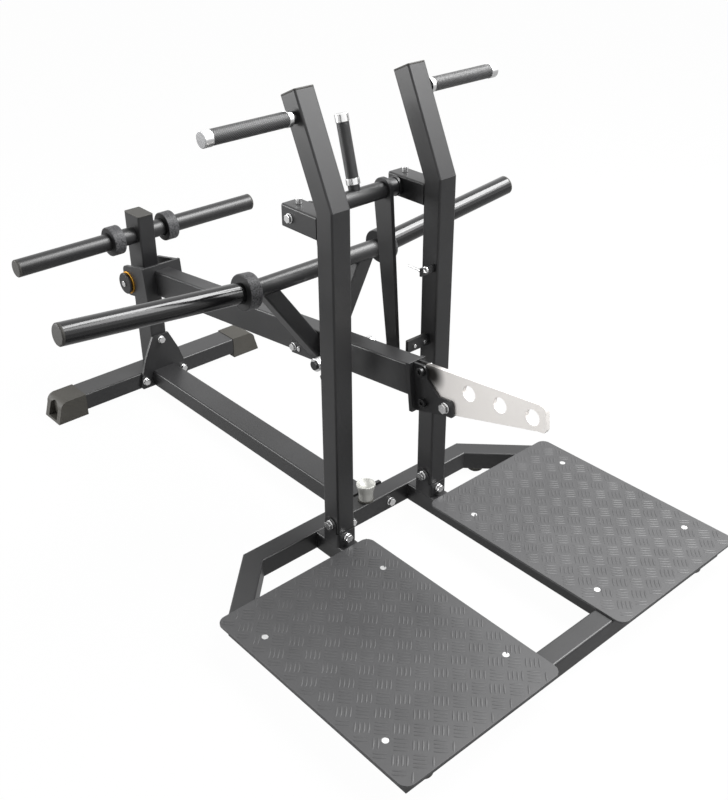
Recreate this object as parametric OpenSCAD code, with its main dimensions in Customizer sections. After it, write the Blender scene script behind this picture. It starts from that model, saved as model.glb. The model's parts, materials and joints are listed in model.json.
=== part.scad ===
// Belt squat machine: a plate-loaded lever on a welded tube base.
// X runs across the machine, -Y is the user's side and Z is up.
// The floor is Z = 0 and the origin is the middle of the footprint.
// Inside the modules, Y is measured from the back face of the cross tube.

/* [Square tube] */
// Side of the square frame tube
tube = 50; // [44:1:56]
// Wall of every frame tube
tube_wall = 3; // [2:0.5:4]
// Outer corner radius of the frame tube
tube_round = 4.5; // [2:0.5:6]

/* [Base frame] */
// Height of the rubber feet under the frame
foot_height = 14.5; // [10:0.5:20]
// Width over the side rails
base_width = 1020; // [960:10:1100]
// Distance from the cross tube's back to the front rail's front
base_depth = 712; // [660:4:760]
// Length that each 45 degree corner takes off the rectangle
corner_cut = 156; // [130:2:180]
// Distance of the inner rails and uprights from the middle
inner_x = 150; // [140:1:170]
// Diameter of a dome foot
dome_d = 42; // [34:1:46]
// Step of the rear dome feet along the corner tubes
dome_step = 30; // [20:1:40]

/* [Foot plates] */
// Thickness of the foot plate without its tread
plate_t = 5; // [4:0.5:6]
// Height of the raised tread
tread_h = 1; // [0.5:0.1:1.5]
// How far the plate overhangs the rails
plate_overhang = 25; // [15:1:30]
// Distance of the plate's back edge from the cross tube's back
plate_back = 150; // [145:1:170]
// Corner radius of the plate
plate_round = 22; // [10:1:30]
// Distance of the plate screws from the front and back edges
screw_inset = 108; // [80:2:140]
// Head diameter of a countersunk plate screw
screw_head_d = 17; // [14:0.5:20]
// Thread diameter of a plate screw
screw_d = 8; // [6:0.5:9]

/* [Centre beam and rear] */
// Width of the centre beam
beam_w = 76; // [70:1:84]
// Distance from the cross tube's back to the post's front face
post_front = 901; // [860:1:940]
// Depth of the rear post
post_d = 76; // [70:1:84]
// Height of the rear post's top above the frame's underside
post_h = 534; // [500:2:560]
// Thickness of the flange plates at both ends of the beam
flange_t = 8; // [6:0.5:10]
// Half width of the front beam flange
flange_half = 80; // [76:1:90]
// How far the front beam flange stands above the tubes
flange_lip = 4; // [2:0.5:8]
// Height of the rear gusset plate
gusset_h = 160; // [140:2:180]
// Half width of the gusset plate at its foot
gusset_half = 83; // [76:1:90]
// Half width of the gusset plate at its top
gusset_top_half = 27; // [22:1:32]
// Depth of the rear foot tube
rear_d = 80; // [76:1:86]
// Half length of the rear foot tube that shows
rear_half = 262; // [240:2:290]
// Length of a rubber end block
block_len = 95; // [80:1:110]
// How far the end block stands proud of the tube
block_proud = 1.5; // [1:0.5:3]

/* [Storage horns] */
// Diameter of the plate horns
horn_d = 48.5; // [44:0.5:50]
// How far the storage horns lie below the post's top
store_drop = 63.5; // [50:0.5:80]
// Half width over the storage horns
store_half = 385; // [360:1:410]
// Distance of the storage collar's inner face from the middle
store_collar_x = 70; // [60:1:80]
// Length of a storage collar
store_collar_len = 35; // [25:1:40]
// Diameter of the storage collars
store_collar_d = 83; // [70:1:90]
// Thickness of a horn's end cap
cap_t = 6; // [4:0.5:8]

/* [Uprights and handles] */
// Distance of the uprights' centre in front of the cross tube's back
upright_y = 106; // [100:1:112]
// Height of the bend above the frame's underside
bend_h = 863; // [840:1:900]
// Lean of the upright's head
lean = 25; // [18:1:30]
// Length of the leaning head with its cap
head_len = 242; // [230:1:270]
// Thickness of the tube caps' visible flange
tube_cap_t = 4; // [2:0.5:6]
// Height of the socket collar
collar_h = 36; // [30:1:42]
// Wall of the socket collar
collar_t = 2.5; // [2:0.5:4]
// Height of the side bolt above the base tubes
side_bolt_h = 55; // [50:1:62]
// Height of the front bolt above the base tubes
front_bolt_h = 20; // [16:1:22]
// Distance of the handle up the leaning head
handle_up = 192; // [170:1:200]
// Length of a handle from the upright's face
handle_len = 216; // [190:1:240]
// Diameter of a handle grip
grip_d = 31; // [28:0.5:34]
// Length of a handle's chrome end
handle_end_len = 19; // [14:1:30]
// Length of a handle's inner collar
handle_collar_len = 10; // [8:1:20]

/* [Lock] */
// Length of a lock bracket behind the upright
bracket_len = 111; // [105:1:118]
// How far the lock shaft lies below the bend
lock_drop = 39; // [33:1:45]
// Distance of the lock shaft behind the cross tube's back
lock_y = 3; // [0:0.5:4]
// Diameter of the fixed shaft inside the lock tube
shaft_d = 20; // [16:0.5:22]
// Outer diameter of the lock tube
lock_tube_d = 38.5; // [34:0.5:42]
// Distance of the arms' middle from the centre plane
arm_x = 86; // [82:0.5:88]
// Thickness of a prop arm
arm_t = 10; // [8:0.5:11]
// Radius of the ring at an arm's top
arm_ring_r = 27; // [25:0.5:29]
// How far the hooks stand clear of the catch at rest, in degrees
lock_clear = 3.8; // [3.8:0.1:5]
// Play between the hook's seat and the catch sleeve
hook_play = 0.5; // [0.4:0.1:0.8]
// Length of the release handle from the shaft's centre
release_len = 179; // [160:1:190]
// Lean of the release handle at rest
release_lean = 14.5; // [10:0.5:18]
// Diameter of the release handle's grip
release_d = 27.5; // [24:0.5:31]

/* [Lever] */
// Height of the lever's pivot above the frame's underside
pivot_h = 333; // [325:1:345]
// Diameter of the pivot shaft
pivot_d = 25; // [22:0.5:30]
// Upward slope of the lever at rest
lever_tilt = 6.6; // [5:0.1:8]
// Depth of the lever tube
lever_h = 76; // [70:1:80]
// Distance of the catch pin behind the cross tube's back
catch_y = 44.5; // [40:0.5:50]
// How far the catch pin lies below the pivot line
catch_down = 4.4; // [2:0.1:8]
// Distance from the catch pin to the lever's front end
lever_nose = 242; // [220:1:260]
// How far the lever's centre line runs above the pivot
lever_up = 7; // [2:0.5:12]
// Distance from the pivot to the front of the fork's web
fork_reach = 103; // [98:1:112]
// Half width over the fork's ears
fork_half = 63; // [60:0.5:68]
// Thickness of the fork's plates
fork_t = 10; // [8:0.5:12]
// How far the ears stand in from the web's ends
ear_inset = 5; // [3:0.5:7]
// How far the fork's ears reach behind the pivot
ear_back = 21; // [18:1:26]
// How far the ears reach above the pivot
ear_top = 50; // [44:1:54]
// How far the ears reach below the pivot
ear_low = 40; // [36:1:44]
// Corner radius of the fork's ears
ear_round = 18; // [14:1:18]
// Side of the V arms' square tube
v_tube = 40; // [36:1:44]
// Angle of a V arm from upright
v_angle = 34; // [30:0.5:38]
// Distance from the V arms' centre back to the catch pin
v_ahead = 77; // [70:1:86]
// Distance from the V arms' centre forward to the load bar
bar_ahead = 9; // [4:1:12]
// Height of the load bar over the pivot line
bar_up = 193.7; // [180:0.1:205]
// Diameter of the load bar's middle tube
bar_d = 42; // [38:0.5:46]
// Distance of the load collars' inner face from the middle
load_collar_x = 187; // [180:1:200]
// Length of a load collar
load_collar_len = 31; // [25:1:38]
// Diameter of the load collars
load_collar_d = 84; // [70:1:92]
// Half width over the load horns
load_half = 651.5; // [600:0.5:680]
// Upward tilt of the load horns
horn_tilt = 5.7; // [3:0.1:7]

/* [Catch and front end] */
// Diameter of the catch sleeves
catch_d = 32; // [30:0.5:34]
// Half width over the catch sleeves
catch_half = 88; // [86.5:0.5:92]
// Width of the tongue's mounting flange
front_flange_w = 50; // [44:1:54]
// Thickness of the belt tongue
tongue_t = 10; // [8:0.5:12]
// Distance from the lever's front end to the tongue's tip
tongue_len = 373.5; // [340:0.5:390]
// Diameter of the belt holes
belt_hole_d = 35; // [30:0.5:36]
// Spacing of the belt holes
belt_pitch = 85.5; // [78:0.5:90]
// Distance of the last belt hole from the tip
belt_inset = 35; // [30:0.5:42]
// Depth of the belt holes below the tongue's top edge
belt_drop = 33; // [28:0.5:34]
// Thickness of a cheek plate beside the tongue
cheek_t = 6; // [5:0.5:8]

/* [Bumper] */
// Distance of the bumper in front of the cross tube's back
bumper_y = 31; // [26:1:34]
// Diameter of the bumper's foot disc
bumper_base_d = 40; // [34:1:44]
// Diameter of the cup below its flared rim
cup_d = 37; // [30:1:38]
// Diameter of the flared rim
rim_d = 48; // [42:1:52]
// Height of the rim above the tubes
rim_h = 49; // [42:1:50]

/* [Fits] */
// Radial running clearance of the pins
run_fit = 0.05; // [0.02:0.01:0.1]
// Radial clearance of a bolt in its hole
bolt_fit = 0.3; // [0.2:0.05:0.5]
// Play between neighbouring faces that move past each other
side_play = 0.3; // [0.2:0.05:0.5]
// Play of a plug in its tube
plug_fit = 0.2; // [0.1:0.05:0.4]

/* [Hidden] */
$fn = 64;

steel_black = "#3a3a3c";
steel_gloss = "#26262a";
chrome = "#d8d8dc";
rubber = "#3c3a36";
stainless = "#e6e3e1";

// Heights measured from the floor
deck_z = foot_height + tube;
mid_z = foot_height + tube / 2;
bend_z = foot_height + bend_h;
lock_z = bend_z - lock_drop;
pivot_z = foot_height + pivot_h;
pivot_y = post_front + post_d / 2;

// Footprint, whose middle is the origin
front_y = -(base_depth + plate_overhang);
back_y = post_front + rear_d + block_proud;
mid_y = (front_y + back_y) / 2;

// Mitred outline of the base, on the tubes' centre lines
rail_x = (base_width - tube) / 2;
mitre_step = tube / 2 * tan(22.5);
corner_x = base_width / 2 - corner_cut - mitre_step;
corner_y = -corner_cut - mitre_step;
corner_len = (rail_x - corner_x) * sqrt(2);
front_rail_y = -base_depth + tube / 2;

// Foot plates
plate_in = inner_x - tube / 2 - plate_overhang;
plate_out = base_width / 2 + plate_overhang;
plate_front = front_y;
screw_ys = [-plate_back - screw_inset, plate_front + screw_inset];
screw_xs = [inner_x, rail_x];
screw_len = plate_t + tread_h + tube_wall;

// Fasteners
bolt_d = 12;
bolt_head_d = 20;
bolt_head_h = 8;
washer_d = 25;
washer_t = 2.5;
flange_bolt_x = 65;
gusset_bolt_x = 66;
gusset_bolt_z = 145;

// Lock parts and their angles
shaft_y = lock_y;
arm_in = arm_x - arm_t / 2;
arm_out = arm_x + arm_t / 2;
boss_r = lock_tube_d / 2 + 1;
boss_end = 115;

// Lever parts, in the lever's own frame at the pivot
lever_top = lever_up + lever_h / 2;
lever_low = lever_up - lever_h / 2;
fork_top = lever_top + 15;
fork_low = lever_low - 3.5;
v_foot_up = v_tube / 2 / sin(v_angle) + lever_low - 2;
v_len = (bar_up - v_foot_up) / cos(v_angle);
horn_r = horn_d / 2;
catch_reach = (pivot_y - catch_y - catch_down * sin(lever_tilt)) / cos(lever_tilt);
v_reach = catch_reach - v_ahead;
bar_reach = v_reach + bar_ahead;
lever_front = catch_reach + lever_nose;
tongue_tip = lever_front + tongue_len;

module place() {
    translate([0, -mid_y, 0])
        children();
}

// A shape and its mirror image on the other side of the machine
module both() {
    children();
    mirror([1, 0, 0])
        children();
}

// The lever's frame: origin at the pivot, -Y along the lever
module lever_frame() {
    translate([0, pivot_y, pivot_z])
        rotate([-lever_tilt, 0, 0])
            children();
}

// The lock's frame: origin on the shaft, hooks engaged when angle is 0
module lock_frame(angle) {
    translate([0, shaft_y, lock_z])
        rotate([-angle, 0, 0])
            children();
}

// Rectangle with round corners
module round_rect(w, h, r) {
    square([w - 2 * r, h], center = true);
    square([w, h - 2 * r], center = true);
    for (x = [-1, 1], y = [-1, 1])
        translate([x * (w / 2 - r), y * (h / 2 - r)])
            circle(r);
}

module tube_section(w, h) {
    difference() {
        round_rect(w, h, tube_round);
        square([w - 2 * tube_wall, h - 2 * tube_wall], center = true);
    }
}

// Rods along each axis, from a start to an end
module rod_x(x0, x1, r) {
    translate([x0, 0, 0])
        rotate([0, 90, 0])
            cylinder(h = x1 - x0, r = r);
}

module rod_y(y0, y1, r) {
    translate([0, y0, 0])
        rotate([-90, 0, 0])
            cylinder(h = y1 - y0, r = r);
}

module rod_z(z0, z1, r) {
    translate([0, 0, z0])
        cylinder(h = z1 - z0, r = r);
}

// Tubes along each axis; the first section size lies across X or Y
module tube_x(x0, x1, w, h) {
    translate([x0, 0, 0])
        rotate([90, 0, 90])
            linear_extrude(x1 - x0)
                tube_section(w, h);
}

module tube_y(y0, y1, w, h) {
    translate([0, y1, 0])
        rotate([90, 0, 0])
            linear_extrude(y1 - y0)
                tube_section(w, h);
}

module tube_z(z0, z1, w, d) {
    translate([0, 0, z0])
        linear_extrude(z1 - z0)
            tube_section(w, d);
}

// Plate cut from a drawing in the YZ plane
module side_plate(x0, x1) {
    translate([x0, 0, 0])
        rotate([90, 0, 90])
            linear_extrude(x1 - x0)
                children();
}

// Tube along +X whose ends are cut on the bisector of each turn
module mitred_tube(len, side, turn_in, turn_out) {
    reach = 3 * side;
    difference() {
        tube_x(-side, len + side, side, side);
        rotate([0, 0, -turn_in / 2])
            translate([-reach, -reach / 2, -reach / 2])
                cube(reach);
        translate([len, 0, 0])
            rotate([0, 0, turn_out / 2])
                translate([0, -reach / 2, -reach / 2])
                    cube(reach);
    }
}

// Hexagon bolt head with its washer, standing along +Z on Z = 0
module hex_head(d, h) {
    cylinder(h = washer_t, r = d * 0.62);
    translate([0, 0, washer_t])
        cylinder(h = h, r = d / sqrt(3), $fn = 6);
}

// Screw through a wall: washer and head outside, shank inside
module wall_bolt(depth) {
    hex_head(bolt_head_d * 0.9, bolt_head_h);
    translate([0, 0, -depth])
        cylinder(h = depth, r = bolt_d / 2);
}

module bolt_hole(depth) {
    translate([0, 0, -depth - 1])
        cylinder(h = depth + 2, r = bolt_d / 2 + bolt_fit);
}

// Base frame

module cross_bolts() {
    for (x = [-1, 1])
        translate([x * flange_bolt_x, -tube, mid_z])
            rotate([90, 0, 0])
                children();
}

module cross_tube() {
    color(steel_black)
        place()
            difference() {
                translate([-corner_x, -tube / 2, mid_z])
                    mitred_tube(2 * corner_x, tube, -45, -45);
                cross_bolts()
                    bolt_hole(tube + flange_t);
            }
}

module corner_tubes() {
    color(steel_black)
        place()
            both()
                translate([corner_x, -tube / 2, mid_z])
                    rotate([0, 0, -45])
                        mitred_tube(corner_len, tube, -45, -45);
}

module screw_places(xs) {
    for (x = xs, y = screw_ys)
        translate([x, y, 0])
            children();
}

module screw_hole() {
    rod_z(deck_z - tube_wall - 1, deck_z + plate_t + tread_h + 1,
        screw_d / 2 + plug_fit);
}

module side_rails() {
    color(steel_black)
        place()
            both()
                difference() {
                    translate([rail_x, corner_y, mid_z])
                        rotate([0, 0, -90])
                            mitred_tube(corner_y - front_rail_y, tube, -45, -90);
                    screw_places([rail_x])
                        screw_hole();
                }
}

module front_rail() {
    color(steel_black)
        place()
            translate([-rail_x, front_rail_y, mid_z])
                mitred_tube(2 * rail_x, tube, 90, 90);
}

module inner_rails() {
    color(steel_black)
        place()
            both()
                difference() {
                    translate([inner_x, 0, mid_z])
                        tube_y(front_rail_y + tube / 2, -tube, tube, tube);
                    screw_places([inner_x])
                        screw_hole();
                }
}

// Foot plates

module foot_plate() {
    plate_top = plate_t + tread_h;
    translate([0, 0, deck_z])
        difference() {
            translate([(plate_in + plate_out) / 2, (plate_front - plate_back) / 2, 0])
                linear_extrude(plate_top)
                    round_rect(plate_out - plate_in, -plate_back - plate_front,
                        plate_round);
            screw_places(screw_xs) {
                rod_z(-1, plate_top + 1, screw_d / 2 + plug_fit);
                translate([0, 0, plate_top - (screw_head_d - screw_d) / 2])
                    cylinder(h = screw_head_d / 2, r1 = screw_d / 2 + plug_fit,
                        r2 = screw_head_d + plug_fit - screw_d / 2);
            }
        }
}

module foot_plate_left() {
    color("#6e6e70")
        place()
            mirror([1, 0, 0])
                foot_plate();
}

module foot_plate_right() {
    color("#6e6e70")
        place()
            foot_plate();
}

module plate_screws() {
    head_h = (screw_head_d - screw_d) / 2;
    color(chrome)
        place()
            both()
                screw_places(screw_xs)
                    translate([0, 0, deck_z + plate_t + tread_h]) {
                        rod_z(-screw_len, -head_h, screw_d / 2);
                        translate([0, 0, -head_h])
                            cylinder(h = head_h, r1 = screw_d / 2,
                                r2 = screw_head_d / 2);
                    }
}

module dome_feet() {
    r = dome_d / 2;
    sole_r = r * 0.7;
    bevel_h = foot_height / 3;
    color(rubber)
        place()
            both()
                for (p = [[rail_x - dome_d, front_rail_y],
                    [corner_x + dome_step, -tube / 2 - dome_step]])
                    translate([p.x, p.y, 0]) {
                        cylinder(h = bevel_h, r1 = sole_r, r2 = r);
                        rod_z(bevel_h, foot_height, r);
                    }
}

// Centre beam and rear foot

module front_beam_flange() {
    height = tube + flange_lip;
    difference() {
        translate([0, flange_t, foot_height + height / 2])
            rotate([90, 0, 0])
                linear_extrude(flange_t)
                    round_rect(2 * flange_half, height, tube_round);
        cross_bolts()
            bolt_hole(tube + flange_t);
    }
}

module centre_beam() {
    color(steel_black)
        place()
            translate([0, 0, mid_z])
                tube_y(flange_t, post_front - flange_t, beam_w, tube);
}

module gusset_bolts() {
    for (p = [[-gusset_bolt_x, tube / 2], [gusset_bolt_x, tube / 2], [0, gusset_bolt_z]])
        translate([p.x, post_front - flange_t, foot_height + p.y])
            rotate([90, 0, 0])
                children();
}

module gusset_plate() {
    outline = [
        [gusset_top_half, gusset_h], [gusset_top_half + 30, gusset_h * 0.61],
        [gusset_half - 5, gusset_h * 0.21], [gusset_half, gusset_h * 0.06],
        [gusset_half - 6, 0]
    ];
    half = len(outline);
    mirrored = [for (i = [half - 1:-1:0]) [-outline[i].x, outline[i].y]];
    difference() {
        translate([0, post_front, foot_height])
            rotate([90, 0, 0])
                linear_extrude(flange_t)
                    polygon(concat(outline, mirrored));
        gusset_bolts()
            bolt_hole(2 * flange_t);
    }
}

module beam_flanges() {
    color(steel_black)
        place() {
            front_beam_flange();
            gusset_plate();
        }
}

module rear_foot_tube() {
    color(steel_black)
        place()
            difference() {
                translate([0, post_front + rear_d / 2, mid_z])
                    tube_x(-rear_half - block_len / 2, rear_half + block_len / 2,
                        rear_d, tube);
                gusset_bolts()
                    bolt_hole(2 * flange_t);
            }
}

module rear_block() {
    depth = rear_d + 2 * block_proud;
    height = deck_z + block_proud;
    flare = 14;
    nose = 25;
    slot_w = 46;
    slot_depth = 16;
    x0 = rear_half;
    x1 = rear_half + block_len;
    difference() {
        translate([0, post_front + rear_d / 2 + depth / 2, 0])
            rotate([90, 0, 0])
                linear_extrude(depth)
                    union() {
                        polygon([[x0, 0], [x1, 0], [x1 - flare + 2, height - nose],
                            [x1 - flare - nose, height], [x0, height]]);
                        translate([x1 - flare - nose + 2, height - nose])
                            circle(nose);
                    }
        translate([0, post_front + rear_d / 2, mid_z])
            rotate([90, 0, 90])
                linear_extrude(x0 + block_len / 2 + plug_fit)
                    round_rect(rear_d + 2 * plug_fit, tube + 2 * plug_fit, tube_round);
        translate([x1 - slot_depth - flare / 2, post_front + rear_d / 2, 0])
            rotate([90, 0, 90])
                linear_extrude(flare + slot_depth)
                    union() {
                        translate([-slot_w / 2, foot_height / 2])
                            square([slot_w, height - foot_height - slot_w / 2]);
                        translate([0, height - foot_height / 2 - slot_w / 2])
                            circle(slot_w / 2);
                    }
    }
}

module rear_blocks() {
    color(rubber)
        place()
            both()
                rear_block();
}

module rear_post() {
    color(steel_black)
        place()
            difference() {
                translate([0, pivot_y, 0])
                    tube_z(deck_z, foot_height + post_h - tube_cap_t, tube, post_d);
                translate([0, pivot_y, pivot_z])
                    rod_x(-tube, tube, pivot_d / 2 + run_fit);
                gusset_bolts()
                    bolt_hole(2 * flange_t);
            }
}

// Plug cap: a flange over the tube's end and a plug inside it
module tube_cap(w, d) {
    linear_extrude(tube_cap_t)
        round_rect(w, d, tube_round);
    plug = tube_wall + plug_fit;
    translate([0, 0, -tube_cap_t * 3])
        linear_extrude(tube_cap_t * 3)
            square([w - 2 * plug, d - 2 * plug], center = true);
}

// Storage horns

module storage_at() {
    translate([0, pivot_y, foot_height + post_h - store_drop])
        children();
}

store_free_x = store_collar_x + store_collar_len;
neck_over = 0.25;

module storage_necks() {
    color(steel_black)
        place()
            both()
                storage_at()
                    rod_x(tube / 2, store_free_x, horn_r + neck_over);
}

module storage_horns() {
    color(steel_gloss)
        place()
            both()
                storage_at()
                    difference() {
                        rod_x(store_free_x, store_half - cap_t, horn_r);
                        rod_x(store_half - cap_t * 3, store_half, horn_r - tube_wall);
                    }
}

module storage_collars() {
    color("#3d3d3f")
        place()
            both()
                storage_at()
                    difference() {
                        rod_x(store_collar_x, store_free_x, store_collar_d / 2);
                        rod_x(0, store_half, horn_r + neck_over + run_fit);
                    }
}

// End cap of a horn: a chamfered disc with a plug, from X = 0 outward
module horn_cap() {
    edge = cap_t / 3;
    rod_x(-cap_t * 2 + plug_fit, 0, horn_r - tube_wall - plug_fit);
    rod_x(0, cap_t - edge, horn_r);
    translate([cap_t - edge, 0, 0])
        rotate([0, 90, 0])
            cylinder(h = edge, r1 = horn_r, r2 = horn_r - edge);
}

module storage_caps() {
    color("#1c1c1e")
        place()
            both()
                storage_at()
                    translate([store_half - cap_t, 0, 0])
                        horn_cap();
}

// Uprights

module upright_frame() {
    translate([inner_x, -upright_y, 0])
        children();
}

// The leaning head's frame: origin at the bend, Z up the head
module head_frame() {
    translate([inner_x, -upright_y, bend_z])
        rotate([-lean, 0, 0])
            children();
}

module socket_bolts() {
    translate([inner_x - tube / 2 - collar_t, -upright_y, deck_z + side_bolt_h])
        rotate([0, -90, 0])
            children();
    translate([inner_x, -upright_y - tube / 2 - collar_t, deck_z + front_bolt_h])
        rotate([90, 0, 0])
            children();
}

// The left upright carries its side bolt on its outer face
module outer_socket_bolts() {
    translate([inner_x + tube / 2 + collar_t, -upright_y, deck_z + side_bolt_h])
        rotate([0, 90, 0])
            children();
    translate([inner_x, -upright_y - tube / 2 - collar_t, deck_z + front_bolt_h])
        rotate([90, 0, 0])
            children();
}

module upright_tube() {
    translate([inner_x, -upright_y, deck_z])
        rotate([0, -90, 0])
            mitred_tube(bend_z - deck_z, tube, 0, lean);
}

module uprights() {
    color(steel_black)
        place() {
            difference() {
                upright_tube();
                socket_bolts()
                    bolt_hole(tube);
            }
            mirror([1, 0, 0])
                difference() {
                    upright_tube();
                    outer_socket_bolts()
                        bolt_hole(tube);
                }
        }
}

module upright_heads() {
    color(steel_black)
        place()
            both()
                head_frame()
                    rotate([0, -90, 0])
                        mitred_tube(head_len - tube_cap_t, tube, lean, 0);
}

module tube_caps() {
    color("#4f4d48")
        place() {
            translate([0, pivot_y, foot_height + post_h - tube_cap_t])
                tube_cap(tube, post_d);
            both()
                head_frame()
                    translate([0, 0, head_len - tube_cap_t])
                        tube_cap(tube, tube);
        }
}

module socket_shell() {
    outer = tube + 2 * collar_t;
    tab_r = tube * 0.4;
    upright_frame()
        difference() {
            union() {
                translate([0, 0, deck_z])
                    linear_extrude(collar_h)
                        round_rect(outer, outer, tube_round + collar_t);
                for (side = [-1, 1])
                    translate([side * (outer - collar_t) / 2 - collar_t / 2, 0, deck_z])
                        rotate([90, 0, 90])
                            linear_extrude(collar_t)
                                union() {
                                    translate([-tab_r, 0])
                                        square([2 * tab_r, side_bolt_h]);
                                    translate([0, side_bolt_h])
                                        circle(tab_r);
                                }
            }
            translate([0, 0, deck_z - 1])
                linear_extrude(tube * 3)
                    square(tube, center = true);
        }
}

module upright_sockets() {
    color(steel_black)
        place() {
            difference() {
                socket_shell();
                socket_bolts()
                    bolt_hole(tube);
            }
            mirror([1, 0, 0])
                difference() {
                    socket_shell();
                    outer_socket_bolts()
                        bolt_hole(tube);
                }
        }
}

// Handles

module handle_at() {
    head_frame()
        translate([tube / 2, 0, handle_up])
            children();
}

module handle_bars() {
    r = grip_d / 2 - tube_wall;
    color(steel_black)
        place()
            both()
                handle_at()
                    rod_x(0, handle_len - handle_end_len, r);
}

handle_stub = 12;

module handle_grips() {
    color("#2a2a2c")
        place()
            both()
                handle_at()
                    difference() {
                        rod_x(handle_stub + handle_collar_len, handle_len - handle_end_len,
                            grip_d / 2);
                        rod_x(0, handle_len, grip_d / 2 - tube_wall + run_fit);
                    }
}

// Chrome rings at the inner ends of the grips and chrome ends outside them
module handle_ends() {
    edge = 1;
    r = grip_d / 2 + 1;
    color(chrome)
        place()
            both()
                handle_at() {
                    difference() {
                        rod_x(handle_stub, handle_stub + handle_collar_len, r);
                        rod_x(0, handle_len, grip_d / 2 - tube_wall + run_fit);
                    }
                    rod_x(handle_len - handle_end_len, handle_len - edge, r);
                    translate([handle_len - edge, 0, 0])
                        rotate([0, 90, 0])
                            cylinder(h = edge, r1 = r, r2 = r - edge);
                }
}

// Lock brackets and the fixed shaft

bracket_back = -upright_y + tube / 2 + bracket_len;
stud_d = 14;
stud_h = 14;
side_head_d = 17;
side_head_h = 6;

// The studs clamp the shaft from above
module stud_places() {
    both()
        translate([inner_x, shaft_y, lock_z + tube / 2])
            children();
}

module lock_brackets() {
    color(steel_black)
        place()
            difference() {
                both()
                    translate([inner_x, 0, lock_z]) {
                        tube_y(-upright_y + tube / 2, bracket_back, tube, tube);
                        translate([0, bracket_back, 0])
                            rotate([90, 0, 0])
                                linear_extrude(tube_wall)
                                    square(tube - 2 * tube_wall, center = true);
                    }
                translate([0, shaft_y, lock_z])
                    rod_x(-inner_x - tube, inner_x + tube, shaft_d / 2 + run_fit);
                stud_places()
                    rod_z(-tube_wall - 1, 1, bolt_d / 2 + bolt_fit);
            }
}

module bracket_studs() {
    edge = 1.5;
    color(chrome)
        place()
            stud_places() {
                rod_z(-tube_wall, 0, bolt_d / 2);
                rod_z(0, stud_h - edge, stud_d / 2);
                translate([0, 0, stud_h - edge])
                    cylinder(h = edge, r1 = stud_d / 2, r2 = stud_d / 2 - edge);
            }
}

module lock_shaft() {
    color(chrome)
        place()
            translate([0, shaft_y, lock_z]) {
                rod_x(-inner_x - tube / 2, inner_x + tube / 2, shaft_d / 2);
                both()
                    translate([inner_x + tube / 2, 0, 0])
                        rotate([0, 90, 0])
                            hex_head(side_head_d, side_head_h);
            }
}

module lock_washers() {
    washer_x = boss_end + side_play;
    color("#1c1c1e")
        place()
            translate([0, shaft_y, lock_z])
                both()
                    difference() {
                        union() {
                            rod_x(washer_x, inner_x - tube / 2 - washer_t, boss_r + 2);
                            rod_x(washer_x, inner_x - tube / 2, shaft_d * 0.7);
                        }
                        rod_x(0, inner_x, shaft_d / 2 + run_fit);
                    }
}

// Stops on the right upright

strip_drop = 339;
strip_t = 4;
strip_h = 30;
strip_in = 61;
strip_y = -upright_y - strip_t / 2;
strip_z = lock_z - strip_drop;
stop_pad_t = 3.8;
stop_screw_d = 6;
stop_screw_edge = 11;
stop_screw_gap = 32;
stop_screw_low = 3;

tab_drop = 158;
tab_h = 19;
tab_t = 5;
tab_set = 9.5;
tab_y = -upright_y - tube / 2 + tab_set;
tab_z = lock_z - tab_drop;
eye_x = 89;
eye_edge = 5;
eye_wire_r = 2.25;
eye_ring_r = 6;
eye_up = 2.5;
eye_z = tab_z + eye_up;

module strip_screws() {
    first = inner_x - tube / 2 - stop_screw_edge;
    for (x = [first - stop_screw_gap, first])
        translate([x, strip_y, strip_z - stop_screw_low])
            children();
}

module stop_tab() {
    difference() {
        translate([eye_x - eye_edge, tab_y, tab_z - tab_h / 2])
            cube([inner_x - tube / 2 - eye_x + eye_edge, tab_t, tab_h]);
        translate([eye_x, tab_y, eye_z])
            rod_y(-tab_t, 2 * tab_t, eye_wire_r + bolt_fit);
    }
}

module stop_strip() {
    difference() {
        translate([strip_in, strip_y, strip_z - strip_h / 2])
            cube([inner_x - tube / 2 - strip_in, strip_t, strip_h]);
        strip_screws()
            rod_y(-tube, tube, stop_screw_d / 2 + bolt_fit);
    }
}

module stop_plates() {
    color(steel_black)
        place() {
            stop_tab();
            stop_strip();
        }
}

// The eye is bent up from the end of its rod, and nuts hold the rod to the tab
module eye_bolt() {
    nut_t = 4;
    eye_len = 53;
    eye_play = 0.1;
    eye_y = tab_y - eye_ring_r - eye_wire_r - eye_play;
    color(chrome)
        place()
            translate([eye_x, 0, eye_z]) {
                rod_y(eye_y, eye_y + eye_len, eye_wire_r);
                rod_y(tab_y + tab_t, tab_y + tab_t + nut_t, 2 * eye_wire_r);
                translate([0, eye_y, eye_ring_r])
                    rotate([0, 90, 0])
                        rotate_extrude()
                            translate([eye_ring_r, 0])
                                circle(eye_wire_r, $fn = 24);
            }
}

module stop_pad() {
    color(rubber)
        place()
            difference() {
                translate([strip_in, strip_y + strip_t, strip_z - strip_h / 2])
                    cube([inner_x - tube / 2 - strip_in - 1, stop_pad_t, strip_h]);
                strip_screws()
                    rod_y(-tube, strip_t + stop_pad_t / 2, stop_screw_d / 2 + bolt_fit);
            }
}

// Bumper

module bumper_at() {
    translate([0, -bumper_y, deck_z])
        children();
}

bumper_base_t = 4;

module bumper_base() {
    color(rubber)
        place()
            bumper_at()
                rod_z(0, bumper_base_t, bumper_base_d / 2);
}

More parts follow.
